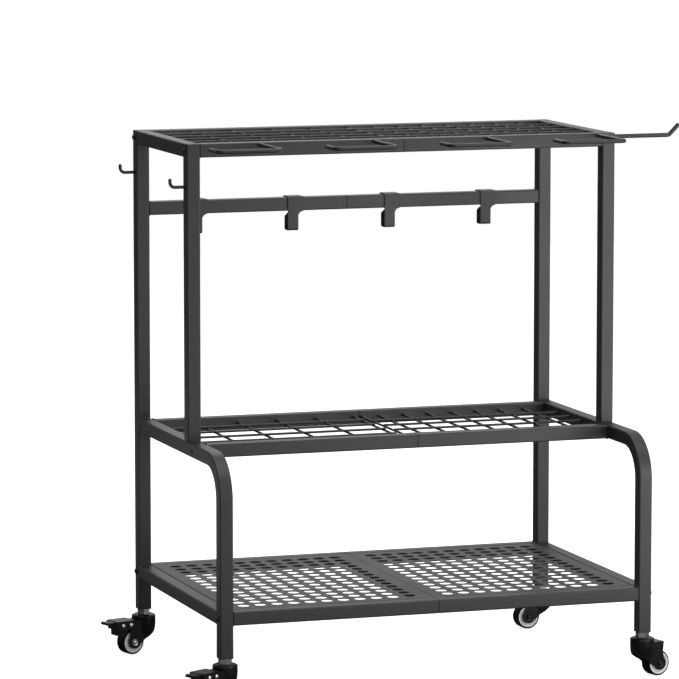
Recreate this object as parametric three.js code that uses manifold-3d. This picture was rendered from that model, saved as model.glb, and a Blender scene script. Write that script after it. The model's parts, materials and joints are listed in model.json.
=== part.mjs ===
// Wheeled tool rack of square steel tube: two rear posts, two bent side tubes with
// standing front uprights, split cross rails, wire grids, a perforated deck, hooks and casters.
// Built with X across, Y towards the back and Z up; the rear face of the posts is at Y 0.
import * as THREE from 'three';
import { mergeVertices } from 'three/addons/utils/BufferGeometryUtils.js';
import Module from 'manifold-3d';

const wasm = await Module();
wasm.setup();

// Frame
const WIDTH = 824;
const UPPER_DEPTH = 350;
const LOWER_DEPTH = 544;
const RACK_RISE = 901;
const BACK_BAR_RISE = 768;
const SIDE_TUBE_RISE = 362.5;
const MID_FRONT_LEAD = 37;
const MID_REAR_LEAD = 33.5;
const LOW_RAIL_RISE = 84.3;
const TUBE = 25;
const TUBE_WALL = 1.2;
const TUBE_CORNER = 2.5;
const CORNER_POINTS = 2;
const BEND_RADIUS = 68;
const BEND_STEPS = 10;
const JOINT_GAP = 0.3;
const PLUG_HEIGHT = 14;
const PLUG_BITE = 0.2;
const CAP_HEIGHT = 1.5;
const MID_SEAM = 14.6;

// Spigots that join the two halves of a cross rail
const SPIGOT_REACH = 40;
const SPIGOT_WALL = 1.5;
const SPIGOT_CLEARANCE = 0.3;

// Wire grids
const GRID_WIRE = 4.5;
const GRID_SIDES = 6;
const GRID_LONG_DROP = 3;
const GRID_CROSS_DROP = 6;
const LONG_WIRE_COUNT = 4;
const LEFT_CELL_COUNT = 5;
const RIGHT_CELL_COUNT = 8;
const GRID_SHIFT = 4;
const GRID_SEAM_WIRE = 2.5;
const GRID_MID_LEFT_END = 14;
const GRID_MID_DROP = 5.5;
const GRID_MID_RIGHT_LEAD = 15.5;

// Perforated deck
const DECK_SHEET = 1.2;
const DECK_FLANGE = 10;
const DECK_HOLE = 23.5;
const DECK_HOLE_SIDES = 6;
const DECK_COLUMNS = 11;
const DECK_ROWS = 14;
const DECK_SEAM_MARGIN = 36.5;
const DECK_SIDE_MARGIN = 36.7;
const DECK_END_MARGIN = 33.5;

// Hooks on the back bar, their right edges placed in shares of the bar's half length
const BACK_HOOK_SHARES = [-0.7373, -0.2499, 0.2463, 0.7455];
const TONGUE_WIDTH = 21;
const SADDLE_WIDTH = 31;
const SADDLE_FILLET = 8;
const SADDLE_BACK = 16;
const HOOK_SHEET = 2;
const TONGUE_DROP = 37;
const TONGUE_REACH = 20;
const LIP_TOP_DROP = 5;
const LIP_CORNER = 6;
const HOOK_HEEL = 3;

// Wire hooks on the top front rail
const FRONT_HOOK_COUNT = 4;
const FRONT_HOOK_LEFT_INSET = 113;
const FRONT_HOOK_RIGHT_INSET = 6.5;
const FRONT_WIRE = 7.5;
const FRONT_HOOK_DROP = 4.5;
const FRONT_HOOK_REACH = 131;
const FRONT_HOOK_RUN = 119;
const FRONT_HOOK_PRONG = 53;
const WIRE_BEND = 9;
const WIRE_BEND_STEPS = 3;
const WIRE_SIDES = 8;

// Hooks on the outer sides
const PRONG_ROD = 8;
const PRONG_DROP = 8;
const PRONG_REACH = 112;
const PRONG_TIP = 20;
const SIDE_HOOK_ROD = 6;
const SIDE_HOOK_DROP = 78;
const SIDE_HOOK_REACH = 28;
const SIDE_HOOK_TIP = 16;

// Casters, heights measured down from the end of the post
const AXLE_DROP = 59.4;
const TRAIL = 30;
const WHEEL_RADIUS = 23.5;
const WHEEL_SIDES = 18;
const WHEEL_HALF = 11.5;
const WHEEL_BOSS_HALF = 12.4;
const WHEEL_RECESS_HALF = 9;
const WHEEL_BOSS_RADIUS = 7;
const WHEEL_RING_RADIUS = 17.5;
const TYRE_INNER_RADIUS = 21.6;
const TYRE_SHOULDER = 1.8;
const TURN_SIDES = 18;
const RUNNING_CLEARANCE = 0.02;
const FIXED_CLEARANCE = 0.1;
const AXLE_RADIUS = 3;
const AXLE_HEAD_RADIUS = 5.5;
const AXLE_HEAD = 2.6;
const STEM_RADIUS = 5;
const STEM_IN_POST = 12;
const NUT_FLATS = 22;
const NUT_HEIGHT = 9.4;
const CUP_RADIUS = 22.5;
const CUP_RIM_RADIUS = 19;
const CUP_CHAMFER = 2.2;
const CUP_HEIGHT = 8.6;
const STEM_HEAD_RADIUS = 9;
const STEM_HEAD = 2.2;
const HEX_SIDES = 6;
const FORK_SHEET = 2.5;
const FORK_INNER_HALF = 13;
const SKIRT_TOP_RADIUS = 22;
const SKIRT_HEIGHT = 36;
const FORK_CAVITY_FRONT = 8;
const FORK_EYE_RADIUS = 12.4;
const FORK_EYE_STEPS = 7;
const FORK_EYE_START = 45;
const FORK_EYE_TURN = 184;
const PEDAL_WALL = 2;
const PEDAL_TONGUE_HALF = 12;
const PEDAL_PIN_RADIUS = 2.5;

// Side outlines of fork and pedal, in shares of the trail and of the drop from crown to axle
const FORK_BACK_SHARES = [[1.267, 0], [1.2, 0.539]];
const FORK_BRAKED_BACK_SHARES = [[1.267, 0], [1.45, 0.086], [1.483, 0.147], [1.483, 0.221], [1.3, 0.45]];
const FORK_SHIN_SHARES = [[-0.2, 0.456], [-0.533, 0.304], [-0.683, 0.157]];
const PEDAL_OUTLINE_SHARES = [
  [1.033, -0.054], [2.333, -0.054], [2.4, -0.015], [2.4, 0.132], [2.3, 0.157], [2.283, 0.353],
  [2.067, 0.377], [2.05, 0.672], [1.85, 0.696], [1.8, 0.647], [1.667, 0.475], [1.55, 0.365],
  [1.033, 0.365],
];
const PEDAL_TONGUE_SHARES = [
  [2.333, -0.027], [2.667, -0.002], [2.8, -0.034], [2.933, -0.01], [2.933, 0.098], [2.8, 0.118],
  [2.667, 0.083], [2.333, 0.096],
];
const PEDAL_SLOT_SHARE = 1.55;
const PEDAL_PIN_SHARES = [1.3, 0.167];
const CASTERS = [
  { place: 'rear_l', side: -1, rear: true, heading: 197.4, brake: true },
  { place: 'rear_r', side: 1, rear: true, heading: 182.7, brake: false },
  { place: 'front_l', side: -1, rear: false, heading: 208.5, brake: true },
  { place: 'front_r', side: 1, rear: false, heading: 13.9, brake: false },
];

// Sizes that follow from the ones above
const HALF_TUBE = TUBE / 2;
const STEM_X = WIDTH / 2 - HALF_TUBE;
const INNER_X = WIDTH / 2 - TUBE;
const POST_Y = -HALF_TUBE;
const UPRIGHT_Y = HALF_TUBE - UPPER_DEPTH;
const MID_FRONT_Y = UPRIGHT_Y - MID_FRONT_LEAD;
const MID_REAR_Y = POST_Y - MID_REAR_LEAD;
const LEG_Y = HALF_TUBE - LOWER_DEPTH;
const POST_END = AXLE_DROP + WHEEL_RADIUS;
const TOP = POST_END + RACK_RISE;
const BAR_TOP = POST_END + BACK_BAR_RISE;
const SIDE_TOP = POST_END + SIDE_TUBE_RISE;
const LOW_TOP = POST_END + LOW_RAIL_RISE;
const TUBE_BORE = TUBE - TUBE_WALL - TUBE_WALL;
const CUP_TOP_DROP = JOINT_GAP + NUT_HEIGHT;
const FORK_DROP = CUP_TOP_DROP + CUP_HEIGHT + JOINT_GAP;
const FORK_OUTER_HALF = FORK_INNER_HALF + FORK_SHEET;
const PEDAL_PIN_PLACE = casterPoint(PEDAL_PIN_SHARES);

const materials = {
  frame: new THREE.MeshStandardMaterial({ color: 0x2b2b2d, roughness: 0.55, metalness: 0.3 }),
  deck: new THREE.MeshStandardMaterial({ color: 0x343436, roughness: 0.6, metalness: 0.3 }),
  wire: new THREE.MeshStandardMaterial({ color: 0x222224, roughness: 0.5, metalness: 0.3 }),
  fork: new THREE.MeshStandardMaterial({ color: 0x141416, roughness: 0.3, metalness: 0.4 }),
  zinc: new THREE.MeshStandardMaterial({ color: 0xc4c6c8, roughness: 0.35, metalness: 0.9 }),
  wheel: new THREE.MeshStandardMaterial({ color: 0x3a3a3c, roughness: 0.7, metalness: 0 }),
};

const rack = new THREE.Group();
rack.name = 'wheeled_tool_rack';

// Turns a closed three.js geometry into a solid for joining and cutting
function solid(geometry) {
  const bare = geometry.clone();
  bare.deleteAttribute('normal');
  bare.deleteAttribute('uv');
  const merged = mergeVertices(bare);
  const mesh = new wasm.Mesh({
    numProp: 3,
    vertProperties: new Float32Array(merged.attributes.position.array),
    triVerts: new Uint32Array(merged.index.array),
  });
  return new wasm.Manifold(mesh);
}

// Adds one named sub-part to the rack
function addPart(name, shape, material) {
  const result = shape.getMesh();
  const geometry = new THREE.BufferGeometry();
  geometry.setAttribute('position', new THREE.BufferAttribute(result.vertProperties, 3));
  geometry.setIndex(new THREE.BufferAttribute(result.triVerts, 1));
  const faceted = geometry.toNonIndexed();
  faceted.computeVertexNormals();
  const mesh = new THREE.Mesh(faceted, material.clone());
  mesh.name = name;
  rack.add(mesh);
}

function box(low, high) {
  const size = high.map((value, i) => value - low[i]);
  const geometry = new THREE.BoxGeometry(...size);
  geometry.translate(...low.map((value, i) => value + size[i] / 2));
  return solid(geometry);
}

// Points of a square with rounded corners, centred on the origin
function roundedSquare(size, radius, pointsPerCorner) {
  const inset = size / 2 - radius;
  const points = [];
  for (let corner = 0; corner < 4; corner += 1) {
    const start = corner * Math.PI / 2;
    const middle = start + Math.PI / 4;
    const centreX = Math.sign(Math.cos(middle)) * inset;
    const centreY = Math.sign(Math.sin(middle)) * inset;
    for (let i = 0; i <= pointsPerCorner; i += 1) {
      const angle = start + i / pointsPerCorner * Math.PI / 2;
      points.push(new THREE.Vector2(
        centreX + radius * Math.cos(angle),
        centreY + radius * Math.sin(angle),
      ));
    }
  }
  return points;
}

function squareShape(size) {
  const half = size / 2;
  return [[-half, -half], [half, -half], [half, half], [-half, half]]
    .map(([x, y]) => new THREE.Vector2(x, y));
}

function tubeShape() {
  const shape = new THREE.Shape(roundedSquare(TUBE, TUBE_CORNER, CORNER_POINTS));
  shape.holes.push(new THREE.Path(squareShape(TUBE_BORE).reverse()));
  return shape;
}

function ringShape(outer, inner) {
  const shape = new THREE.Shape(squareShape(outer));
  shape.holes.push(new THREE.Path(squareShape(inner).reverse()));
  return shape;
}

function circlePoints(radius, sides) {
  const points = [];
  for (let i = 0; i < sides; i += 1) {
    const angle = (i + 0.5) / sides * 2 * Math.PI;
    points.push(new THREE.Vector2(radius * Math.cos(angle), radius * Math.sin(angle)));
  }
  return points;
}

// Radius of a faceted hole whose flats clear a shaft of the given radius
function holeRadius(radius, clearance, sides) {
  return (radius + clearance) / Math.cos(Math.PI / sides);
}

// Extrudes a shape along one axis, from one coordinate to another, about a centre line
function along(axis, shape, from, to, centre) {
  const geometry = new THREE.ExtrudeGeometry(shape, { depth: to - from, bevelEnabled: false });
  geometry.translate(0, 0, from);
  if (axis === 'x') {
    geometry.rotateY(Math.PI / 2);
    geometry.translate(0, centre[0], centre[1]);
  } else if (axis === 'y') {
    geometry.rotateX(-Math.PI / 2);
    geometry.translate(centre[0], 0, centre[1]);
  } else {
    geometry.translate(centre[0], centre[1], 0);
  }
  return solid(geometry);
}

// Extrudes an outline drawn in the XZ plane across Y
function acrossY(points, from, to) {
  const shape = new THREE.Shape(points.map(([x, z]) => new THREE.Vector2(x, z)));
  const geometry = new THREE.ExtrudeGeometry(shape, { depth: to - from, bevelEnabled: false });
  geometry.rotateX(Math.PI / 2);
  geometry.translate(0, to, 0);
  return solid(geometry);
}

// Extrudes an outline drawn in the YZ plane across X
function acrossX(points, from, to) {
  const shape = new THREE.Shape(points.map(([y, z]) => new THREE.Vector2(y, z)));
  const geometry = new THREE.ExtrudeGeometry(shape, { depth: to - from, bevelEnabled: false });
  geometry.rotateX(Math.PI / 2);
  geometry.rotateZ(Math.PI / 2);
  geometry.translate(from, 0, 0);
  return solid(geometry);
}

// A path through fixed stations, with the direction known at each one
class StationPath extends THREE.Curve {
  constructor(stations) {
    super();
    this.stations = stations;
  }

  station(share) {
    return this.stations[Math.round(share * (this.stations.length - 1))];
  }

  getPoint(share) {
    return this.station(share).point.clone();
  }

  getPointAt(share) {
    return this.station(share).point.clone();
  }

  getTangentAt(share) {
    return this.station(share).direction.clone();
  }
}

// Stations along straight runs between corners, each corner rounded by the bend radius
function roundedStations(corners, radius, steps) {
  const stations = [];
  const last = corners.length - 1;
  const directions = corners.slice(1).map((corner, i) => corner.clone().sub(corners[i]).normalize());
  stations.push({ point: corners[0], direction: directions[0] });
  for (let i = 1; i < last; i += 1) {
    const before = directions[i - 1];
    const after = directions[i];
    const turn = before.angleTo(after);
    const setback = radius * Math.tan(turn / 2);
    const start = corners[i].clone().addScaledVector(before, -setback);
    const inward = after.clone().addScaledVector(before, -before.dot(after)).normalize();
    const centre = start.clone().addScaledVector(inward, radius);
    for (let step = 0; step <= steps; step += 1) {
      const angle = step / steps * turn;
      const point = centre.clone()
        .addScaledVector(inward, -radius * Math.cos(angle))
        .addScaledVector(before, radius * Math.sin(angle));
      const direction = before.clone().multiplyScalar(Math.cos(angle))
        .addScaledVector(inward, Math.sin(angle));
      stations.push({ point, direction });
    }
  }
  stations.push({ point: corners[last], direction: directions[last - 1] });
  return stations;
}

function sweep(shape, corners, radius, steps) {
  const stations = roundedStations(corners.map((corner) => new THREE.Vector3(...corner)), radius, steps);
  const geometry = new THREE.ExtrudeGeometry(shape, {
    steps: stations.length - 1,
    extrudePath: new StationPath(stations),
    bevelEnabled: false,
  });
  return solid(geometry);
}

function rod(diameter, corners) {
  return sweep(
    new THREE.Shape(circlePoints(diameter / 2, WIRE_SIDES)),
    corners,
    WIRE_BEND,
    WIRE_BEND_STEPS,
  );
}

// Turned piece about the Z axis from its half outline, given as radius and height
function turned(points, sides) {
  const outline = points.map(([radius, height]) => new THREE.Vector2(radius, height));
  const geometry = new THREE.LatheGeometry(outline, sides, Math.PI / sides);
  geometry.rotateX(Math.PI / 2);
  return solid(geometry);
}

function disc(radius, low, high, sides) {
  return turned([[0, low], [radius, low], [radius, high], [0, high]], sides);
}

// Threaded plug welded into the lower end of a post or leg
function endPlug(x, y) {
  const shape = new THREE.Shape(squareShape(TUBE_BORE + PLUG_BITE));
  const bore = holeRadius(STEM_RADIUS, FIXED_CLEARANCE, TURN_SIDES);
  shape.holes.push(new THREE.Path(circlePoints(bore, TURN_SIDES).reverse()));
  return along('z', shape, POST_END, POST_END + PLUG_HEIGHT, [x, y]);
}

function topCap(x, y) {
  const shape = new THREE.Shape(squareShape(TUBE_BORE + PLUG_BITE));
  return along('z', shape, TOP - CAP_HEIGHT, TOP, [x, y]);
}

function addPosts() {
  for (const [end, side] of [['l', -1], ['r', 1]]) {
    const x = side * STEM_X;
    const post = along('z', tubeShape(), POST_END, TOP, [x, POST_Y]);
    addPart(`rear_post_${end}`, post.add(endPlug(x, POST_Y)).add(topCap(x, POST_Y)), materials.frame);
    const upright = along('z', tubeShape(), SIDE_TOP + JOINT_GAP, TOP, [x, UPRIGHT_Y]);
    addPart(`front_upright_${end}`, upright.add(topCap(x, UPRIGHT_Y)), materials.frame);
    const corners = [
      [x, -TUBE - JOINT_GAP, SIDE_TOP - HALF_TUBE],
      [x, LEG_Y, SIDE_TOP - HALF_TUBE],
      [x, LEG_Y, POST_END],
    ];
    const sideTube = sweep(tubeShape(), corners, BEND_RADIUS, BEND_STEPS);
    addPart(`side_tube_${end}`, sideTube.add(endPlug(x, LEG_Y)), materials.frame);
    const topRail = along(
      'y',
      tubeShape(),
      TUBE + JOINT_GAP - UPPER_DEPTH,
      -TUBE - JOINT_GAP,
      [x, TOP - HALF_TUBE],
    );
    addPart(`top_side_rail_${end}`, topRail, materials.frame);
    const lowRail = along(
      'y',
      tubeShape(),
      TUBE + JOINT_GAP - LOWER_DEPTH,
      -TUBE - JOINT_GAP,
      [x, LOW_TOP - HALF_TUBE],
    );
    addPart(`low_side_rail_${end}`, lowRail, materials.frame);
  }
}

// A cross rail in two halves: the left one carries a spigot that slides into the right one
function addSplitRail(name, seam, y, top) {
  const centre = [y, top - HALF_TUBE];
  const reach = INNER_X - JOINT_GAP;
  const left = along('x', tubeShape(), -reach, seam, centre);
  const slim = TUBE_BORE - SPIGOT_CLEARANCE - SPIGOT_CLEARANCE;
  const spigotBore = slim - SPIGOT_WALL - SPIGOT_WALL;
  const root = ringShape(TUBE_BORE + PLUG_BITE, spigotBore);
  const rooted = along('x', root, seam - SPIGOT_REACH, seam, centre);
  const free = along('x', ringShape(slim, spigotBore), seam, seam + SPIGOT_REACH, centre);
  addPart(`${name}_l`, left.add(rooted).add(free), materials.frame);
  addPart(`${name}_r`, along('x', tubeShape(), seam + JOINT_GAP, reach, centre), materials.frame);
}

function wireAlong(axis, from, to, centre) {
  const shape = new THREE.Shape(circlePoints(GRID_WIRE / 2, GRID_SIDES));
  return along(axis, shape, from, to, centre);
}

// One half of a wire grid: long wires along X lie over cross wires along Y
function addGridHalf(name, bay, side, cells, endX, lead) {
  const top = bay.top;
  const outer = side * (INNER_X - JOINT_GAP);
  const inner = endX - side * GRID_WIRE / 2;
  const front = bay.frontY + HALF_TUBE + JOINT_GAP;
  const back = bay.rearY - HALF_TUBE - JOINT_GAP;
  const span = bay.rearY - bay.frontY - TUBE;
  let grid = wireAlong('y', front, back, [endX, top - GRID_CROSS_DROP]);
  for (let i = 1; i < cells; i += 1) {
    const x = side * i * INNER_X / cells + GRID_SHIFT;
    grid = grid.add(wireAlong('y', front, back, [x, top - GRID_CROSS_DROP]));
  }
  for (let i = 1; i <= LONG_WIRE_COUNT; i += 1) {
    const y = bay.rearY - HALF_TUBE - lead - i * span / (LONG_WIRE_COUNT + 1);
    const ends = [Math.min(outer, inner), Math.max(outer, inner)];
    grid = grid.add(wireAlong('x', ends[0], ends[1], [y, top - GRID_LONG_DROP]));
  }
  addPart(name, grid, materials.wire);
}

// One half of the perforated deck, with its outer edges folded down along the rails
function addDeckHalf(name, side) {
  const reach = INNER_X - JOINT_GAP;
  const seam = JOINT_GAP / 2;
  const front = TUBE + JOINT_GAP - LOWER_DEPTH;
  const back = -TUBE - JOINT_GAP;
  const x = [side * seam, side * reach].sort((a, b) => a - b);
  const shape = new THREE.Shape([
    new THREE.Vector2(x[0], front),
    new THREE.Vector2(x[1], front),
    new THREE.Vector2(x[1], back),
    new THREE.Vector2(x[0], back),
  ]);
  const columnPitch = (reach - DECK_SEAM_MARGIN - DECK_SIDE_MARGIN) / (DECK_COLUMNS - 1);
  const rowPitch = (back - front - DECK_END_MARGIN - DECK_END_MARGIN) / (DECK_ROWS - 1);
  for (let column = 0; column < DECK_COLUMNS; column += 1) {
    const holeX = side * (DECK_SEAM_MARGIN + column * columnPitch);
    for (let row = 0; row < DECK_ROWS; row += 1) {
      const holeY = front + DECK_END_MARGIN + row * rowPitch;
      const points = circlePoints(DECK_HOLE / 2, DECK_HOLE_SIDES)
        .map((point) => point.add(new THREE.Vector2(holeX, holeY)));
      shape.holes.push(new THREE.Path(points.reverse()));
    }
  }
  const foot = LOW_TOP - DECK_FLANGE;
  let panel = along('z', shape, LOW_TOP - DECK_SHEET, LOW_TOP, [0, 0]);
  const outerFlange = [side * reach, side * (reach - DECK_SHEET)].sort((a, b) => a - b);
  const longFlange = [side * (TUBE + JOINT_GAP), side * reach].sort((a, b) => a - b);
  panel = panel.add(box([outerFlange[0], front, foot], [outerFlange[1], back, LOW_TOP]));
  panel = panel.add(box([longFlange[0], front, foot], [longFlange[1], front + DECK_SHEET, LOW_TOP]));
  panel = panel.add(box([longFlange[0], back - DECK_SHEET, foot], [longFlange[1], back, LOW_TOP]));
  addPart(name, panel, materials.deck);
}

function addDeckCrossTube() {
  const tube = along(
    'y',
    tubeShape(),
    TUBE + JOINT_GAP - LOWER_DEPTH,
    -TUBE - JOINT_GAP,
    [HALF_TUBE, LOW_TOP - DECK_SHEET - JOINT_GAP - HALF_TUBE],
  );
  addPart('deck_cross_tube', tube, materials.frame);
}

// A strip hook: a saddle over the back bar and a tongue that turns up behind itself
function addBackHook(name, edge) {
  const barBottom = BAR_TOP - TUBE;
  const face = -TUBE - JOINT_GAP;
  const crown = BAR_TOP + JOINT_GAP;
  const left = edge - TONGUE_WIDTH;
  const right = left + SADDLE_WIDTH;
  const foot = barBottom - TONGUE_DROP;
  const plate = acrossY([
    [left, crown + HOOK_SHEET],
    [left, foot + HOOK_HEEL],
    [edge, foot + HOOK_HEEL],
    [edge, barBottom - SADDLE_FILLET],
    [edge + HOOK_HEEL, barBottom - HOOK_HEEL],
    [right, barBottom],
    [right, crown + HOOK_SHEET],
  ], face - HOOK_SHEET, face);
  const crownPlate = box(
    [left, face - HOOK_SHEET, crown],
    [right, JOINT_GAP + HOOK_SHEET, crown + HOOK_SHEET],
  );
  const backPlate = box(
    [left, JOINT_GAP, crown - SADDLE_BACK],
    [right, JOINT_GAP + HOOK_SHEET, crown + HOOK_SHEET],
  );
  const lipBack = face + TONGUE_REACH;
  const heel = acrossX([
    [face - HOOK_SHEET, foot + HOOK_HEEL],
    [face - HOOK_SHEET + HOOK_HEEL, foot],
    [lipBack - HOOK_HEEL, foot],
    [lipBack, foot + HOOK_HEEL],
    [lipBack, foot + HOOK_HEEL + HOOK_SHEET],
    [lipBack - HOOK_SHEET, foot + HOOK_HEEL + HOOK_SHEET],
    [lipBack - HOOK_HEEL - HOOK_SHEET, foot + HOOK_SHEET],
    [face + HOOK_SHEET, foot + HOOK_SHEET],
    [face, foot + HOOK_HEEL + HOOK_SHEET],
    [face - HOOK_SHEET, foot + HOOK_HEEL + HOOK_SHEET],
  ], left, edge);
  const lipTop = barBottom - LIP_TOP_DROP;
  const lip = acrossY([
    [left, foot + HOOK_HEEL],
    [edge, foot + HOOK_HEEL],
    [edge, lipTop - LIP_CORNER],
    [edge - LIP_CORNER, lipTop],
    [left + LIP_CORNER, lipTop],
    [left, lipTop - LIP_CORNER],
  ], lipBack - HOOK_SHEET, lipBack);
  addPart(name, plate.add(crownPlate).add(backPlate).add(heel).add(lip), materials.frame);
}

// Wire hooks on the front rail: out, across to the left and back towards the rail
function addFrontHooks() {
  const z = TOP - FRONT_HOOK_DROP;
  const front = -UPPER_DEPTH - FRONT_HOOK_REACH;
  const first = FRONT_HOOK_LEFT_INSET - INNER_X;
  const last = INNER_X - FRONT_HOOK_RIGHT_INSET;
  for (let i = 0; i < FRONT_HOOK_COUNT; i += 1) {
    const x = first + i / (FRONT_HOOK_COUNT - 1) * (last - first);
    addPart(`front_hook_${i + 1}`, rod(FRONT_WIRE, [
      [x, -UPPER_DEPTH - JOINT_GAP, z],
      [x, front, z],
      [x - FRONT_HOOK_RUN, front, z],
      [x - FRONT_HOOK_RUN, front + FRONT_HOOK_PRONG, z],
    ]), materials.wire);
  }
}

function addSideHooks() {
  const face = WIDTH / 2 + JOINT_GAP;
  const level = TOP - PRONG_DROP;
  addPart('side_prong', rod(PRONG_ROD, [
    [face, UPRIGHT_Y, level],
    [face + PRONG_REACH, UPRIGHT_Y, level],
    [face + PRONG_REACH + PRONG_TIP, UPRIGHT_Y, level + PRONG_TIP],
  ]), materials.wire);
  for (const [name, y] of [['side_hook_front', UPRIGHT_Y], ['side_hook_rear', POST_Y]]) {
    addPart(name, rod(SIDE_HOOK_ROD, [
      [-face, y, TOP - SIDE_HOOK_DROP],
      [-face - SIDE_HOOK_REACH, y, TOP - SIDE_HOOK_DROP],
      [-face - SIDE_HOOK_REACH, y, TOP - SIDE_HOOK_DROP + SIDE_HOOK_TIP],
    ]), materials.wire);
  }
}

// Turns shares of a caster's trail and of its drop from crown to axle into a point
function casterPoint([alongTrail, belowCrown]) {
  return [alongTrail * TRAIL, -FORK_DROP - belowCrown * (AXLE_DROP - FORK_DROP)];
}

// Moves a caster piece, built trailing along +X under the origin, to its leg
function placed(shape, caster) {
  const y = caster.rear ? POST_Y : LEG_Y;
  return shape.rotate([0, 0, caster.heading]).translate([caster.side * STEM_X, y, POST_END]);
}

function stem() {
  const cupFoot = -CUP_TOP_DROP - CUP_HEIGHT;
  const headTop = -FORK_DROP - FORK_SHEET - JOINT_GAP;
  const body = turned([
    [0, headTop - STEM_HEAD],
    [STEM_HEAD_RADIUS, headTop - STEM_HEAD],
    [STEM_HEAD_RADIUS, headTop],
    [STEM_RADIUS, headTop],
    [STEM_RADIUS, cupFoot],
    [CUP_RADIUS, cupFoot],
    [CUP_RADIUS, -CUP_TOP_DROP - CUP_CHAMFER],
    [CUP_RIM_RADIUS, -CUP_TOP_DROP],
    [STEM_RADIUS, -CUP_TOP_DROP],
    [STEM_RADIUS, STEM_IN_POST],
    [0, STEM_IN_POST],
  ], TURN_SIDES);
  const nutShape = new THREE.Shape(circlePoints(holeRadius(NUT_FLATS / 2, 0, HEX_SIDES), HEX_SIDES));
  const nut = along('z', nutShape, -CUP_TOP_DROP - CUP_CHAMFER, -JOINT_GAP, [0, 0]);
  return body.add(nut);
}

// A pin or hole across the fork, centred on the given trail and drop
function crossPin(radius, half, place, sides) {
  return disc(radius, -half, half, sides).rotate([90, 0, 0]).translate([place[0], 0, place[1]]);
}

// Formed sheet fork: a coned skirt that runs down into the shin, and two cheeks to the axle
function fork(brake) {
  const outline = (brake ? FORK_BRAKED_BACK_SHARES : FORK_BACK_SHARES).map(casterPoint);
  for (let i = 0; i <= FORK_EYE_STEPS; i += 1) {
    const angle = THREE.MathUtils.degToRad(FORK_EYE_START - i / FORK_EYE_STEPS * FORK_EYE_TURN);
    const x = TRAIL + FORK_EYE_RADIUS * Math.cos(angle);
    outline.push([x, FORK_EYE_RADIUS * Math.sin(angle) - AXLE_DROP]);
  }
  outline.push(...FORK_SHIN_SHARES.map(casterPoint));
  outline.push([-SKIRT_TOP_RADIUS, -FORK_DROP]);
  const skirtFoot = -FORK_DROP - SKIRT_HEIGHT;
  const skirt = turned([
    [0, skirtFoot],
    [FORK_OUTER_HALF, skirtFoot],
    [SKIRT_TOP_RADIUS, -FORK_DROP],
    [0, -FORK_DROP],
  ], TURN_SIDES).intersect(acrossY(outline, -SKIRT_TOP_RADIUS, SKIRT_TOP_RADIUS));
  const skirtHollow = turned([
    [0, skirtFoot - FORK_SHEET],
    [FORK_INNER_HALF, skirtFoot - FORK_SHEET],
    [SKIRT_TOP_RADIUS - FORK_SHEET, -FORK_DROP - FORK_SHEET],
    [0, -FORK_DROP - FORK_SHEET],
  ], TURN_SIDES);
  const cavity = box(
    [-FORK_CAVITY_FRONT, -FORK_INNER_HALF, -AXLE_DROP - AXLE_DROP],
    [TRAIL + TRAIL, FORK_INNER_HALF, -FORK_DROP - FORK_SHEET],
  );
  const swivelBore = holeRadius(STEM_RADIUS, RUNNING_CLEARANCE, TURN_SIDES);
  const axleBore = holeRadius(AXLE_RADIUS, FIXED_CLEARANCE, TURN_SIDES);
  let body = acrossY(outline, -FORK_OUTER_HALF, FORK_OUTER_HALF).add(skirt);
  body = body.subtract(skirtHollow).subtract(cavity);
  body = body.subtract(disc(swivelBore, -FORK_DROP - SKIRT_HEIGHT, SKIRT_HEIGHT, TURN_SIDES));
  body = body.subtract(crossPin(axleBore, AXLE_DROP, [TRAIL, -AXLE_DROP], TURN_SIDES));
  if (brake) {
    const pinBore = holeRadius(PEDAL_PIN_RADIUS, RUNNING_CLEARANCE, TURN_SIDES);
    body = body.subtract(crossPin(pinBore, AXLE_DROP, PEDAL_PIN_PLACE, TURN_SIDES));
  }
  return body;
}

function axle() {
  const face = FORK_OUTER_HALF + JOINT_GAP;
  const tip = face + AXLE_HEAD;
  return turned([
    [0, -tip],
    [AXLE_HEAD_RADIUS, -tip],
    [AXLE_HEAD_RADIUS, -face],
    [AXLE_RADIUS, -face],
    [AXLE_RADIUS, face],
    [AXLE_HEAD_RADIUS, face],
    [AXLE_HEAD_RADIUS, tip],
    [0, tip],
  ], TURN_SIDES).rotate([90, 0, 0]).translate([TRAIL, 0, -AXLE_DROP]);
}

// Hub and tyre in one piece, the outline closed on itself round the bore
function wheel() {
  const bore = holeRadius(AXLE_RADIUS, RUNNING_CLEARANCE, WHEEL_SIDES);
  const tread = WHEEL_RADIUS / Math.cos(Math.PI / WHEEL_SIDES);
  const half = [
    [bore, WHEEL_BOSS_HALF],
    [WHEEL_BOSS_RADIUS, WHEEL_BOSS_HALF],
    [WHEEL_BOSS_RADIUS, WHEEL_RECESS_HALF],
    [WHEEL_RING_RADIUS, WHEEL_RECESS_HALF],
    [WHEEL_RING_RADIUS, WHEEL_HALF],
    [TYRE_INNER_RADIUS, WHEEL_HALF],
    [tread, WHEEL_HALF - TYRE_SHOULDER],
  ];
  const mirrored = half.map(([radius, height]) => [radius, -height]);
  const outline = [...mirrored, ...half.reverse(), mirrored[0]];
  return turned(outline, WHEEL_SIDES).rotate([90, 0, 0]).translate([TRAIL, 0, -AXLE_DROP]);
}

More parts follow.
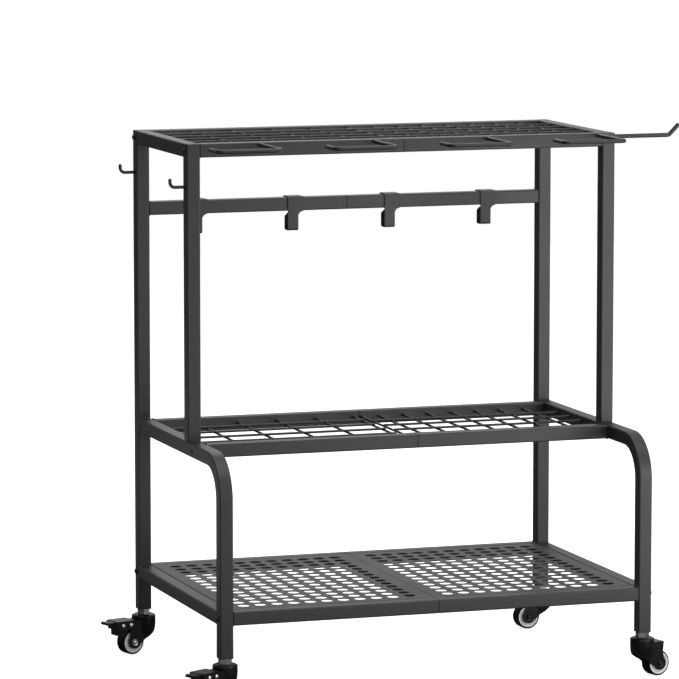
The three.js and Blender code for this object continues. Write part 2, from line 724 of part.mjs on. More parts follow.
// Brake pedal: a channel straddling the fork on a pin, a shoe behind the tyre and a foot tongue
function pedal() {
  const inner = FORK_OUTER_HALF + JOINT_GAP;
  const outer = inner + PEDAL_WALL;
  const pin = crossPin(PEDAL_PIN_RADIUS, outer, PEDAL_PIN_PLACE, TURN_SIDES);
  const slot = box([0, -inner, -AXLE_DROP], [PEDAL_SLOT_SHARE * TRAIL, inner, JOINT_GAP - FORK_DROP]);
  return acrossY(PEDAL_OUTLINE_SHARES.map(casterPoint), -outer, outer)
    .subtract(slot)
    .add(acrossY(PEDAL_TONGUE_SHARES.map(casterPoint), -PEDAL_TONGUE_HALF, PEDAL_TONGUE_HALF))
    .add(pin);
}

function addCasters() {
  for (const caster of CASTERS) {
    addPart(`stem_${caster.place}`, placed(stem(), caster), materials.zinc);
    addPart(`fork_${caster.place}`, placed(fork(caster.brake), caster), materials.fork);
    addPart(`axle_${caster.place}`, placed(axle(), caster), materials.zinc);
    addPart(`wheel_${caster.place}`, placed(wheel(), caster), materials.wheel);
    if (caster.brake) {
      addPart(`pedal_${caster.place}`, placed(pedal(), caster), materials.fork);
    }
  }
}

// The two bays that the grids fill, each between its rails
const topBay = { rearY: POST_Y, frontY: UPRIGHT_Y, top: TOP };
const midBay = { rearY: MID_REAR_Y, frontY: MID_FRONT_Y, top: SIDE_TOP - GRID_MID_DROP };

addPosts();
addSplitRail('top_front_rail', 0, UPRIGHT_Y, TOP);
addSplitRail('top_rear_rail', 0, POST_Y, TOP);
addSplitRail('back_bar', 0, POST_Y, BAR_TOP);
addSplitRail('mid_front_rail', MID_SEAM, MID_FRONT_Y, SIDE_TOP);
addSplitRail('mid_rear_rail', MID_SEAM, MID_REAR_Y, SIDE_TOP);
addSplitRail('low_front_rail', 0, LEG_Y, LOW_TOP);
addSplitRail('low_rear_rail', 0, POST_Y, LOW_TOP);
addDeckCrossTube();
addDeckHalf('deck_panel_l', -1);
addDeckHalf('deck_panel_r', 1);
addGridHalf('top_grid_l', topBay, -1, LEFT_CELL_COUNT, -GRID_SEAM_WIRE, 0);
addGridHalf('top_grid_r', topBay, 1, RIGHT_CELL_COUNT, GRID_SEAM_WIRE, 0);
addGridHalf('mid_grid_l', midBay, -1, LEFT_CELL_COUNT, MID_SEAM - GRID_MID_LEFT_END, 0);
addGridHalf('mid_grid_r', midBay, 1, RIGHT_CELL_COUNT, MID_SEAM + GRID_SEAM_WIRE, GRID_MID_RIGHT_LEAD);
BACK_HOOK_SHARES.forEach((share, i) => addBackHook(`back_hook_${i + 1}`, share * INNER_X));
addFrontHooks();
addSideHooks();
addCasters();

// The origin is the middle of the underside of the bounding box
const bounds = new THREE.Box3().setFromObject(rack);
const middle = bounds.getCenter(new THREE.Vector3());
for (const mesh of rack.children) {
  mesh.geometry.translate(-middle.x, -middle.y, -bounds.min.z);
}

export default rack;
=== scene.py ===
import json
import math

import bmesh
import bpy
from mathutils import Euler, Matrix, Vector


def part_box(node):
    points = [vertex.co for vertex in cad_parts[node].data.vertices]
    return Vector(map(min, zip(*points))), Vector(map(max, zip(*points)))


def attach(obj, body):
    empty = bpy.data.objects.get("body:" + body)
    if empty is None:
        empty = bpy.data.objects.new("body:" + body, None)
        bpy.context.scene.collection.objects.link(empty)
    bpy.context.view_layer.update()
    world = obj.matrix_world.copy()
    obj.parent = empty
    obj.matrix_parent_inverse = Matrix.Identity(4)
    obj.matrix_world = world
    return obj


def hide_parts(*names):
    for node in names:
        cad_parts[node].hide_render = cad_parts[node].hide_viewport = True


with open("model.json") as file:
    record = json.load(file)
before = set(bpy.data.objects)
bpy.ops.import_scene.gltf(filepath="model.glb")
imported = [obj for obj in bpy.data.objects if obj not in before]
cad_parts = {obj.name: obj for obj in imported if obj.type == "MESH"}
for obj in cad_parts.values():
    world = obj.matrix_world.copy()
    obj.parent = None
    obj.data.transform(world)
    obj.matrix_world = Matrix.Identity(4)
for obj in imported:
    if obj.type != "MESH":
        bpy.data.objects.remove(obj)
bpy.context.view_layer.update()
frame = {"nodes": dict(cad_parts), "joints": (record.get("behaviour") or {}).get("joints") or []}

bl_info = {
    "name": "Wheeled tool rack",
    "version": (1, 0, 0),
    "blender": (4, 5, 0),
    "location": "View3D > Sidebar > Tool rack",
    "description": "Builds the visible pieces and finishes of a wheeled tool rack on its packed frame",
    "category": "Object",
}

NODES = frame["nodes"]
SIDES = {"l": -1, "r": 1}
CROSS_RAILS = (
    "top_front_rail", "top_rear_rail", "back_bar", "mid_front_rail", "mid_rear_rail",
    "low_front_rail", "low_rear_rail",
)
HALF_TUBE = 0.0125
ALONG_X = (0, math.pi / 2, 0)
ALONG_Y = (math.pi / 2, 0, 0)

# How near counts as at a place, and the cosines that count as parallel and as square to an axis
NEAR = 1e-5
PARALLEL = 0.9
SQUARE = 0.1

# A wheel's axle from its swivel, in the caster's own X and Z
AXLE = (0.030, -0.0594)
ON_AXLE = Matrix.Translation((AXLE[0], 0, AXLE[1])) @ Matrix.Rotation(math.pi / 2, 4, "X")


def length(name, description, default, low, high):
    return bpy.props.FloatProperty(
        name=name, description=description, default=default, min=low, max=high, unit="LENGTH")


def paint(name, description, default):
    return bpy.props.FloatVectorProperty(
        name=name, description=description, default=default, min=0, max=1, subtype="COLOR")


def strength(name, description, default, unit="NONE"):
    return bpy.props.FloatProperty(
        name=name, description=description, default=default, min=0, unit=unit)


class RackSizes(bpy.types.PropertyGroup):
    """Sizes that a user may change, in metres"""
    tube_corner: length(
        "Tube corner", "Radius of the long edges of the square tube", 0.0025, 0.0005, 0.005)
    end_round: length("Tube end rounding", "Rounding of the cut ends of a tube", 0.0006, 0.0001, 0.001)
    split_gap: length(
        "Split gap", "Gap that shows between the halves of a split rail or of the deck",
        0.0008, 0.0003, 0.002)
    bend_radius: length("Bend radius", "Centre line radius of the bent side tubes", 0.068, 0.04, 0.1)
    grid_wire: length("Grid wire", "Diameter of the wires of both grids", 0.0045, 0.002, 0.006)
    deck_hole: length("Deck hole", "Diameter of the round holes of the deck", 0.0225, 0.01, 0.025)
    deck_sheet: length("Deck sheet", "Thickness of the deck sheet", 0.0012, 0.0008, 0.002)
    deck_fold: length(
        "Deck fold", "Radius where the deck sheet turns down along its edges", 0.0028, 0.001, 0.005)
    hook_wire: length("Hook wire", "Diameter of the wire hooks on the front rail", 0.0075, 0.004, 0.009)
    side_hook_rod: length(
        "End hook rod", "Diameter of the small hooks on the left end", 0.0060, 0.004, 0.008)
    prong_rod: length("Prong rod", "Diameter of the long prong on the right end", 0.0080, 0.005, 0.01)
    wire_bend: length(
        "Wire bend", "Centre line radius of the bends of the wire hooks", 0.009, 0.006, 0.015)
    weld_bead: length("Weld bead", "Radius of the weld beads in the corners", 0.0016, 0.0008, 0.003)


class RackColours(bpy.types.PropertyGroup):
    """Colours that a user may change"""
    coat: paint("Powder coat", "Colour of the coated tubes", (0.014, 0.014, 0.014))
    deck: paint("Deck coat", "Colour of the coated deck sheet", (0.034, 0.034, 0.034))
    # The wire coat is darker than the tube coat: partly the wires' black coat, partly painted shade of the
    # grids
    wire: paint("Wire coat", "Colour of the coated wires and hooks", (0.004, 0.004, 0.004))
    fork: paint("Caster black", "Colour of the forks, cups and pedals", (0.004, 0.004, 0.004))
    hub: paint("Wheel hub", "Colour of the moulded hubs", (0.74, 0.74, 0.73))
    # The near-black core fills each hub recess as painted shade of the recess
    core: paint("Wheel core", "Colour of the moulded cores inside the hubs", (0.012, 0.012, 0.012))
    tread: paint("Tread", "Colour of the rubber treads", (0.003, 0.003, 0.003))
    zinc: paint("Zinc", "Colour of the plated axles, kingpins and rivets", (0.62, 0.63, 0.64))
    nut: paint("Nut", "Colour of the dull plated stem nuts", (0.5, 0.5, 0.505))
    ground: paint("Floor", "Colour of the floor", (0.86, 0.86, 0.86))


class RackLight(bpy.types.PropertyGroup):
    """Strengths of the studio light"""
    room: strength("Room", "Strength of the wall light above the horizon", 0.5)
    dusk: strength("Dusk", "Strength of the room light below the horizon", 0.055)
    sheen: strength("Sheen", "Strength of the floor that shows in the far and right faces", 0.9)
    apron: strength("Apron", "Strength of the floor in front that shows in the low front faces", 2.5)
    wall: strength("Wall", "Extra strength of the wall behind, close above the horizon", 1.6)
    ceiling: strength("Ceiling", "Power of the wide lamp overhead", 60, "POWER")
    front: strength("Front", "Power of the far lamp at the front", 72, "POWER")
    near: strength("Near", "Power of the near lamp at the front right", 25, "POWER")
    back: strength("Back", "Power of the far lamp behind", 25, "POWER")
    edge: strength("Edge", "Power of the small lamp behind the left end", 0.6, "POWER")


def sizes():
    return bpy.context.scene.rack_sizes


def colours():
    return bpy.context.scene.rack_colours


# Modelling helpers

def deselect():
    for item in bpy.context.selected_objects:
        item.select_set(False)


def only(item):
    deselect()
    item.select_set(True)
    bpy.context.view_layer.objects.active = item


def settle(item):
    """Puts an object's place, turn and scale into its mesh."""
    only(item)
    bpy.ops.object.transform_apply(location=True, rotation=True, scale=True)


class Editing:
    """Edit mode on one object, with points, edges or faces picked by a test."""

    def __init__(self, item):
        self.item = item

    def __enter__(self):
        only(self.item)
        bpy.ops.object.mode_set(mode="EDIT")
        return self

    def __exit__(self, *problem):
        bpy.ops.object.mode_set(mode="OBJECT")

    def pick(self, kind, test):
        bpy.ops.mesh.select_mode(type=kind)
        bpy.ops.mesh.select_all(action="DESELECT")
        mesh = bmesh.from_edit_mesh(self.item.data)
        mesh.normal_update()
        found = {"VERT": mesh.verts, "EDGE": mesh.edges, "FACE": mesh.faces}[kind]
        for element in found:
            if test(element):
                element.select_set(True)
        mesh.select_flush_mode()
        bmesh.update_edit_mesh(self.item.data)

    def all(self):
        bpy.ops.mesh.select_mode(type="VERT")
        bpy.ops.mesh.select_all(action="SELECT")

    def weld_points(self, reach=1e-6):
        self.all()
        bpy.ops.mesh.remove_doubles(threshold=reach)

    def face_out(self):
        self.all()
        bpy.ops.mesh.normals_make_consistent(inside=False)

    def round_ends(self, radius):
        """Rounds the rims of the faces that close a round or drawn shape."""
        self.pick("FACE", lambda face: len(face.verts) > 4)
        bpy.ops.mesh.region_to_loop()
        bpy.ops.mesh.bevel(offset=radius, segments=3)


def edge_line(edge):
    line = edge.verts[1].co - edge.verts[0].co
    return line.normalized() if line.length else line


def middle_of(edge):
    return (edge.verts[0].co + edge.verts[1].co) / 2


def apply_modifier(item, kind, **settings):
    only(item)
    modifier = item.modifiers.new(kind.lower(), kind)
    for name, value in settings.items():
        setattr(modifier, name, value)
    bpy.ops.object.modifier_apply(modifier=modifier.name)


def cut_or_join(item, other, operation):
    """Joins or cuts one closed shape with another, which is then removed."""
    apply_modifier(item, "BOOLEAN", operation=operation, object=other, solver="EXACT")
    bpy.data.objects.remove(other)


def soften(item, width, segments=3):
    apply_modifier(
        item, "BEVEL", width=width, segments=segments, limit_method="ANGLE",
        angle_limit=math.radians(32), harden_normals=False, use_clamp_overlap=True)


def finish_piece(item, name, body, material, slot, *stood_for):
    """Names, smooths and colours a piece, and hangs it on its body."""
    item.name = name
    item.data.name = name
    settle(item)
    bpy.ops.object.shade_smooth_by_angle(angle=math.radians(35))
    apply_modifier(item, "WEIGHTED_NORMAL", keep_sharp=True, weight=100)
    item.data.materials.clear()
    item.data.materials.append(finish(material))
    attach(item, body)
    if stood_for:
        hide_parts(*stood_for)
    deselect()


def outline_ring(points, filled):
    """A primitive circle whose points are moved to an outline given in the XZ plane."""
    deselect()
    bpy.ops.mesh.primitive_circle_add(
        vertices=len(points), radius=1, fill_type="NGON" if filled else "NOTHING", location=(0, 0, 0))
    item = bpy.context.object
    for point, (x, z) in zip(item.data.vertices, points):
        point.co = (x, 0, z)
    return item


def prism(points, low, high):
    """An outline in the XZ plane, filled and drawn out from one Y to another."""
    item = outline_ring(points, True)
    with Editing(item) as edit:
        edit.all()
        bpy.ops.transform.translate(value=(0, low, 0))
        edit.all()
        bpy.ops.mesh.extrude_region_move(TRANSFORM_OT_translate={"value": (0, high - low, 0)})
        edit.face_out()
    return item


def lathe(points, steps):
    """A half outline in the XZ plane, closed on itself, spun about Z."""
    least_area = 1e-14
    item = outline_ring(points, False)
    with Editing(item) as edit:
        edit.all()
        bpy.ops.mesh.spin(steps=steps, angle=math.tau, center=(0, 0, 0), axis=(0, 0, 1))
        edit.weld_points()
        edit.pick("FACE", lambda face: face.calc_area() < least_area)
        bpy.ops.mesh.delete(type="FACE")
        edit.face_out()
    return item


def arc(centre, radius, start, end, steps):
    """Points of an arc in the XZ plane, angles in degrees."""
    angles = [math.radians(start + (end - start) * i / steps) for i in range(steps + 1)]
    return [(centre[0] + radius * math.cos(a), centre[1] + radius * math.sin(a)) for a in angles]


def rod(radius, depth, place=(0, 0, 0), turn=(0, 0, 0), sides=32):
    """A cylinder that lies in its place."""
    deselect()
    bpy.ops.mesh.primitive_cylinder_add(
        vertices=sides, radius=radius, depth=depth, location=place, rotation=turn)
    item = bpy.context.object
    settle(item)
    return item


def square_bar(low, high, corner, end_round):
    """A straight square tube between two corners, its long edges rounded."""
    deselect()
    span = high - low
    bpy.ops.mesh.primitive_cube_add(size=1, location=(low + high) / 2, scale=span)
    item = bpy.context.object
    settle(item)
    run = max(range(3), key=lambda i: span[i])
    with Editing(item) as edit:
        edit.pick("EDGE", lambda edge: abs(edge_line(edge)[run]) > PARALLEL)
        bpy.ops.mesh.bevel(offset=corner, segments=5)
        edit.pick("FACE", lambda face: abs(face.normal[run]) > PARALLEL)
        bpy.ops.mesh.region_to_loop()
        bpy.ops.mesh.bevel(offset=end_round, segments=2)
    return item


def drawn(profile, moves, tip_round):
    """Draws an open profile loop through straight moves and bends, then closes its ends."""
    with Editing(profile) as edit:
        edit.all()
        for move in moves:
            if len(move) == 1:
                bpy.ops.mesh.extrude_region_move(TRANSFORM_OT_translate={"value": move[0]})
            else:
                centre, axis, angle, steps = move
                bpy.ops.mesh.spin(steps=steps, angle=angle, center=centre, axis=axis)
        edit.weld_points()
        edit.pick("EDGE", lambda edge: edge.is_boundary)
        bpy.ops.mesh.fill_holes(sides=0)
        edit.face_out()
        edit.round_ends(tip_round)
    return profile


def round_loop(start, direction, radius, sides):
    """An open circle of points about a start, square to a direction."""
    deselect()
    turn = Vector(direction).to_track_quat("Z", "Y").to_euler()
    bpy.ops.mesh.primitive_circle_add(vertices=sides, radius=radius, location=start, rotation=turn)
    item = bpy.context.object
    settle(item)
    return item


def wire_through(corners, radius, bend, sides=14, steps=7):
    """A round wire through corner points, bent at each one and rounded at its tips."""
    corners = [Vector(corner) for corner in corners]
    directions = [(b - a).normalized() for a, b in zip(corners, corners[1:])]
    turns = [a.angle(b) for a, b in zip(directions, directions[1:])]
    setbacks = [0] + [bend * math.tan(turn / 2) for turn in turns] + [0]
    moves = []
    here = corners[0]
    for i, direction in enumerate(directions):
        end = corners[i + 1] - direction * setbacks[i + 1]
        moves.append((end - here,))
        here = end
        if i < len(turns):
            axis = direction.cross(directions[i + 1]).normalized()
            inward = axis.cross(direction).normalized()
            moves.append((here + inward * bend, axis, -turns[i], steps))
            here = corners[i + 1] + directions[i + 1] * setbacks[i + 1]
    return drawn(round_loop(corners[0], directions[0], radius, sides), moves, radius / 2)


def mesh_copy(item):
    """A copy of an object with its own mesh."""
    copy = bpy.data.objects.new(item.name + "_copy", item.data.copy())
    bpy.context.scene.collection.objects.link(copy)
    return copy


def placed_copy(model, where):
    """A copy of a modelled piece, moved to its place."""
    copy = mesh_copy(model)
    copy.matrix_world = where
    settle(copy)
    return copy


def refined(node, width):
    """A copy of a solid with its loose triangles merged, flat faces joined and edges rounded."""
    copy = mesh_copy(NODES[node])
    with Editing(copy) as edit:
        edit.weld_points(2e-6)
        bpy.ops.mesh.dissolve_limited(angle_limit=math.radians(1))
    soften(copy, width)
    return copy


def joined(items):
    deselect()
    for item in items:
        item.select_set(True)
    bpy.context.view_layer.objects.active = items[0]
    bpy.ops.object.join()
    return items[0]


# Finishes

class Level:
    """A number in a material; sums and products of levels add their Math nodes."""

    def __init__(self, tree, socket):
        self.tree = tree
        self.socket = socket

    def _with(self, operation, first, second):
        node = self.tree.nodes.new("ShaderNodeMath")
        node.operation = operation
        for place, value in zip(node.inputs, (first, second)):
            if isinstance(value, Level):
                self.tree.links.new(value.socket, place)
            else:
                place.default_value = value
        return Level(self.tree, node.outputs[0])

    def __add__(self, other):
        return self._with("ADD", self, other)

    def __sub__(self, other):
        return self._with("SUBTRACT", self, other)

    def __rsub__(self, other):
        return self._with("SUBTRACT", other, self)

    def __mul__(self, other):
        return self._with("MULTIPLY", self, other)

    __radd__ = __add__
    __rmul__ = __mul__


class Nodes:
    """A node tree under way: its nodes are added by one method."""

    def __init__(self, tree):
        self.tree = tree
        self.tree.nodes.clear()

    def link(self, value, socket):
        if isinstance(value, Level):
            self.tree.links.new(value.socket, socket)
        elif isinstance(value, bpy.types.NodeSocket):
            self.tree.links.new(value, socket)
        else:
            socket.default_value = value

    def node(self, kind, settings=None, **inputs):
        node = self.tree.nodes.new(kind)
        for name, value in (settings or {}).items():
            setattr(node, name, value)
        for name, value in inputs.items():
            self.link(value, node.inputs[name.replace("_", " ")])
        return node

    def ramp(self, socket, low, high, least=0):
        """A smooth rise between two values of a socket, from its least to 1."""
        rise = self.node(
            "ShaderNodeMapRange", {"interpolation_type": "SMOOTHSTEP"},
            Value=socket, From_Min=low, From_Max=high)
        level = Level(self.tree, rise.outputs[0])
        return level * (1 - least) + least if least else level


class Finish(Nodes):
    """A material under way, on the pieces' own coordinates."""

    def __init__(self, name):
        self.material = bpy.data.materials.new(name)
        self.material.use_nodes = True
        super().__init__(self.material.node_tree)
        self.surface = self.node("ShaderNodeBsdfPrincipled")
        self.output = self.node("ShaderNodeOutputMaterial", Surface=self.surface.outputs[0])
        self.place = self.node("ShaderNodeTexCoord").outputs["Object"]

    def noise(self, scale, detail=3.0, roughness=0.5, stretch=None):
        place = self.place
        if stretch:
            place = self.node("ShaderNodeMapping", Vector=place, Scale=stretch).outputs[0]
        node = self.node(
            "ShaderNodeTexNoise", Vector=place, Scale=scale, Detail=detail, Roughness=roughness)
        return Level(self.tree, node.outputs[0])

    def blend(self, factor, first, second):
        """Mixes two colours by a level or a socket."""
        node = self.node("ShaderNodeMix", {"data_type": "RGBA"})
        self.link(factor, node.inputs[0])
        for socket, colour in ((node.inputs[6], first), (node.inputs[7], second)):
            self.link(colour if isinstance(colour, bpy.types.NodeSocket) else (*colour, 1), socket)
        return node.outputs[2]

    def bump(self, height, distance):
        node = self.node("ShaderNodeBump", Height=height, Distance=distance, Strength=1.0)
        self.link(node.outputs[0], self.surface.inputs["Normal"])

    def set(self, **inputs):
        for name, value in inputs.items():
            self.link(value, self.surface.inputs[name.replace("_", " ")])


def shade(colour, factor):
    return tuple(min(1.0, part * factor) for part in colour)


def powder_coat(name, colour, roughness):
    """Fine textured coat: slow tone changes, sparkle of the grain and a fine dimpled surface."""
    coat = Finish(name)
    slow = coat.noise(9.0, 4.0)
    grain = coat.noise(1500.0, 2.0)
    dimples = coat.noise(650.0, 2.0)
    tone = coat.blend(slow, shade(colour, 0.86), shade(colour, 1.14))
    coat.set(
        Base_Color=coat.blend(grain * 0.5, tone, shade(colour, 1.5)),
        Roughness=roughness - 0.06 + slow * 0.12,
        Specular_IOR_Level=0.5)
    coat.bump(dimples + grain * 0.4, 0.00009)
    return coat.material


def gloss_coat(name, colour):
    """Dipped gloss black of the forks and cups, with a faint ripple and a little dust."""
    coat = Finish(name)
    ripple = coat.noise(160.0, 2.0)
    dust = coat.noise(420.0, 5.0, 0.7)
    coat.set(
        Base_Color=coat.blend(dust * 0.3, colour, shade(colour, 2.4)),
        Roughness=0.2 + dust * 0.14,
        Specular_IOR_Level=0.34)
    coat.bump(ripple, 0.00012)
    return coat.material


def zinc_plate(name, colour):
    """Bright plated steel with turning marks and slight clouding."""
    plate = Finish(name)
    cloud = plate.noise(260.0, 4.0)
    marks = plate.noise(1800.0, 2.0, stretch=(1.0, 1.0, 0.2))
    plate.set(
        Base_Color=plate.blend(cloud, shade(colour, 0.82), shade(colour, 1.12)),
        Metallic=1.0,
        Roughness=0.2 + cloud * 0.12 + marks * 0.08)
    plate.bump(marks, 0.00003)
    return plate.material


def moulded(name, colour, roughness, grain_scale, shine=0.5):
    """Moulded plastic or rubber with a fine grain and slightly uneven tone."""
    plastic = Finish(name)
    slow = plastic.noise(60.0, 3.0)
    grain = plastic.noise(grain_scale, 2.0)
    plastic.set(
        Base_Color=plastic.blend(slow, shade(colour, 0.85), shade(colour, 1.12)),
        Roughness=roughness - 0.05 + slow * 0.1,
        Specular_IOR_Level=shine)
    plastic.bump(grain, 0.00008)
    return plastic.material


def weld_finish(name, colour):
    """Coated weld beads with the ripples of the weld pool."""
    bead = Finish(name)
    ripples = bead.node(
        "ShaderNodeTexWave", {"wave_type": "RINGS"}, Vector=bead.place, Scale=260.0, Distortion=2.0)
    slow = bead.noise(120.0, 3.0)
    bead.set(
        Base_Color=bead.blend(slow, shade(colour, 0.8), shade(colour, 1.2)),
        Roughness=0.42 + slow * 0.1)
    bead.bump(Level(bead.tree, ripples.outputs[1]) + slow * 0.4, 0.00025)
    return bead.material


def finish(name):
    """The material of that name, made once."""
    if name in bpy.data.materials:
        return bpy.data.materials[name]
    tint = colours()
    made = {
        "coated_tube": lambda: powder_coat(name, tint.coat, 0.42),
        "coated_deck": lambda: powder_coat(name, tint.deck, 0.52),
        # Darker than the tube coat: partly the wires' black coat, partly painted shade of the grids
        "coated_wire": lambda: powder_coat(name, tint.wire, 0.38),
        "caster_gloss": lambda: gloss_coat(name, tint.fork),
        "zinc_plate": lambda: zinc_plate(name, tint.zinc),
        "nut_plate": lambda: zinc_plate(name, tint.nut),
        "hub_plastic": lambda: moulded(name, tint.hub, 0.42, 1400.0),
        # Near-black core in the hub recess: painted shade of the recess
        "core_plastic": lambda: moulded(name, tint.core, 0.5, 1400.0, 0.3),
        "tread_rubber": lambda: moulded(name, tint.tread, 0.6, 1100.0, 0.08),
        "weld_coat": lambda: weld_finish(name, tint.coat),
    }
    return made[name]()


# Places that come from the frame

def middle(node):
    return sum(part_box(node), Vector()) / 2


def end_face(node, outer=True):
    """X of a node's face away from the rack's middle, or of the one towards it."""
    low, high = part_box(node)
    return low.x if node.endswith("_l") == outer else high.x


def facing_out(place, side):
    """A place whose Z axis points out of the rack's left or right end."""
    return Matrix.Translation(place) @ Matrix.Rotation(side * math.pi / 2, 4, "Y")


def drill(tube, node, y, level, radius):
    """Drills a round hole through a tube's outer wall, into the hollow behind it."""
    wall, hollow, reach = 0.0015, 0.009, 0.018
    bit = lathe([
        (0, -reach), (hollow, -reach), (hollow, -wall), (radius, -wall), (radius, reach), (0, reach),
    ], 32)
    bit.matrix_world = facing_out((end_face(node), y, level), SIDES[node[-1]])
    settle(bit)
    cut_or_join(tube, bit, "DIFFERENCE")


def joint(name):
    return next(item for item in frame["joints"] if item["name"] == name)


def caster_places():
    """For each caster: its name, the turn and place of its swivel, and whether it has a brake."""
    post_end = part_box("rear_post_l")[0].z
    places = []
    for item in frame["joints"]:
        if not item["name"].startswith("swivel_"):
            continue
        place = item["name"].removeprefix("swivel_")
        axis = joint("roll_" + place)["axis"]
        heading = math.atan2(-axis[0], axis[1])
        x, y = item["pos_m"][:2]
        where = Matrix.Translation((x, y, post_end)) @ Matrix.Rotation(heading, 4, "Z")
        places.append((place, where, "pedal_" + place in NODES))
    return places


class PieceOperator:
    """Shared by the operators that add pieces"""
    bl_options = {"REGISTER", "UNDO"}

    def execute(self, context):
        if context.mode != "OBJECT":
            bpy.ops.object.mode_set(mode="OBJECT")
        self.build()
        return {"FINISHED"}


class RACK_OT_straight_tubes(PieceOperator, bpy.types.Operator):
    """Adds the posts, uprights, side rails and split cross rails"""
    bl_idname = "rack.straight_tubes"
    bl_label = "Straight tubes"

    plug_wall = 0.0013
    plug_groove = 0.0005
    plug_rise = 0.0003
    spare_hole = 0.0055
    spare_level = 0.680

    def build(self):
        gap = sizes().split_gap
        for end in SIDES:
            for stem in ("rear_post", "front_upright", "top_side_rail", "low_side_rail"):
                node = f"{stem}_{end}"
                self.add(node, *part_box(node))
        for stem in CROSS_RAILS:
            left_low, left_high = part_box(stem + "_l")
            right_low, right_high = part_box(stem + "_r")
            left_high.x = right_low.x - gap
            self.add(stem + "_l", left_low, left_high)
            self.add(stem + "_r", right_low, right_high)
        self.add("deck_cross_tube", *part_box("deck_cross_tube"))

    def add(self, node, low, high):
        size = sizes()
        bar = square_bar(low, high, size.tube_corner, size.end_round)
        if node.startswith(("rear_post", "front_upright")):
            self.cap(bar, high.z)
        if node.startswith("front_upright"):
            drill(bar, node, middle(node).y, self.spare_level, self.spare_hole / 2)
        finish_piece(bar, "tube_" + node, "rack", "coated_tube", "frame", node)

    def cap(self, bar, top):
        """Lets a closing plug into the top of a post or upright, with a groove round it."""
        def at_top(face):
            return face.normal.z > PARALLEL and face.calc_center_median().z > top - NEAR

        with Editing(bar) as edit:
            edit.pick("FACE", at_top)
            bpy.ops.mesh.inset(thickness=self.plug_wall, depth=0)
            bpy.ops.mesh.inset(thickness=self.plug_groove, depth=-self.plug_groove)
            bpy.ops.mesh.inset(thickness=self.plug_groove, depth=self.plug_rise)


class RACK_OT_bent_tubes(PieceOperator, bpy.types.Operator):
    """Adds the two bent side tubes that become the front legs"""
    bl_idname = "rack.bent_tubes"
    bl_label = "Bent side tubes"

    bolt_hole = 0.008
    bend_steps = 24

    def build(self):
        for end in SIDES:
            self.add(end, f"side_tube_{end}")

    def add(self, end, node):
        size = sizes()
        low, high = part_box(node)
        half = (high.x - low.x) / 2
        x = (low.x + high.x) / 2
        level = high.z - half
        deselect()
        bpy.ops.mesh.primitive_plane_add(
            size=half * 2, location=(x, high.y, level), rotation=ALONG_Y)
        tube = bpy.context.object
        settle(tube)
        with Editing(tube) as edit:
            edit.all()
            bpy.ops.mesh.bevel(offset=size.tube_corner, segments=5, affect="VERTICES")
            edit.all()
            bpy.ops.mesh.delete(type="ONLY_FACE")
        turn_y = low.y + half + size.bend_radius
        turn_z = level - size.bend_radius
        drawn(tube, [
            (Vector((0, turn_y - high.y, 0)),),
            ((x, turn_y, turn_z), (1, 0, 0), -math.pi / 2, self.bend_steps),
            (Vector((0, 0, low.z - turn_z)),),
        ], size.end_round)
        for rail in ("mid_front_rail_", "mid_rear_rail_"):
            drill(tube, node, middle(rail + end).y, level, self.bolt_hole / 2)
        finish_piece(tube, "tube_" + node, "rack", "coated_tube", "frame", node)


class RACK_OT_grids(PieceOperator, bpy.types.Operator):
    """Adds the welded wire grids of the top and the middle"""
    bl_idname = "rack.grids"
    bl_label = "Wire grids"

    cells = {"l": 5, "r": 8}
    long_wires = 4
    wire_sides = 14
    end_gap = 0.0003
    cross_shift = 0.004
    row_lead = {"mid_grid_r": 0.0155}
    end_wire = {"top_grid_l": -0.0025, "top_grid_r": 0.0025, "mid_grid_l": 0.0006, "mid_grid_r": 0.0171}
    weld_bulge = 1.18

    def build(self):
        for node in self.end_wire:
            self.add_half(node)

    def add_half(self, node):
        radius = sizes().grid_wire / 2
        end = node[-1]
        low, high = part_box(node)
        reach = end_face("side_tube_" + end, outer=False)
        seam = (end_face("side_tube_l") + end_face("side_tube_r")) / 2
        step = (reach - seam) / self.cells[end]
        cross = [seam + self.end_wire[node]]
        cross += [seam + i * step + self.cross_shift for i in range(1, self.cells[end])]
        pitch = (high.y - low.y + 2 * self.end_gap) / (self.long_wires + 1)
        first = high.y + self.end_gap - self.row_lead.get(node, 0) - pitch
        rows = [first - i * pitch for i in range(self.long_wires)]
        cross_level = low.z + radius
        long_level = high.z - radius
        x, y, _ = middle(node)
        wires = [(high.x - low.x, (x, row, long_level), ALONG_X) for row in rows]
        wires += [(high.y - low.y, (place, y, cross_level), ALONG_Y) for place in cross]
        grid = rod(radius, *wires[0], self.wire_sides)
        with Editing(grid) as edit:
            for depth, place, turn in wires[1:]:
                bpy.ops.mesh.primitive_cylinder_add(
                    vertices=self.wire_sides, radius=radius, depth=depth, location=place, rotation=turn)
            for place in cross:
                for row in rows:
                    bpy.ops.mesh.primitive_uv_sphere_add(
                        segments=10, ring_count=6, radius=radius * self.weld_bulge,
                        location=(place, row, (cross_level + long_level) / 2))
            edit.face_out()
        finish_piece(grid, "wires_" + node, "rack", "coated_wire", "wire", node)


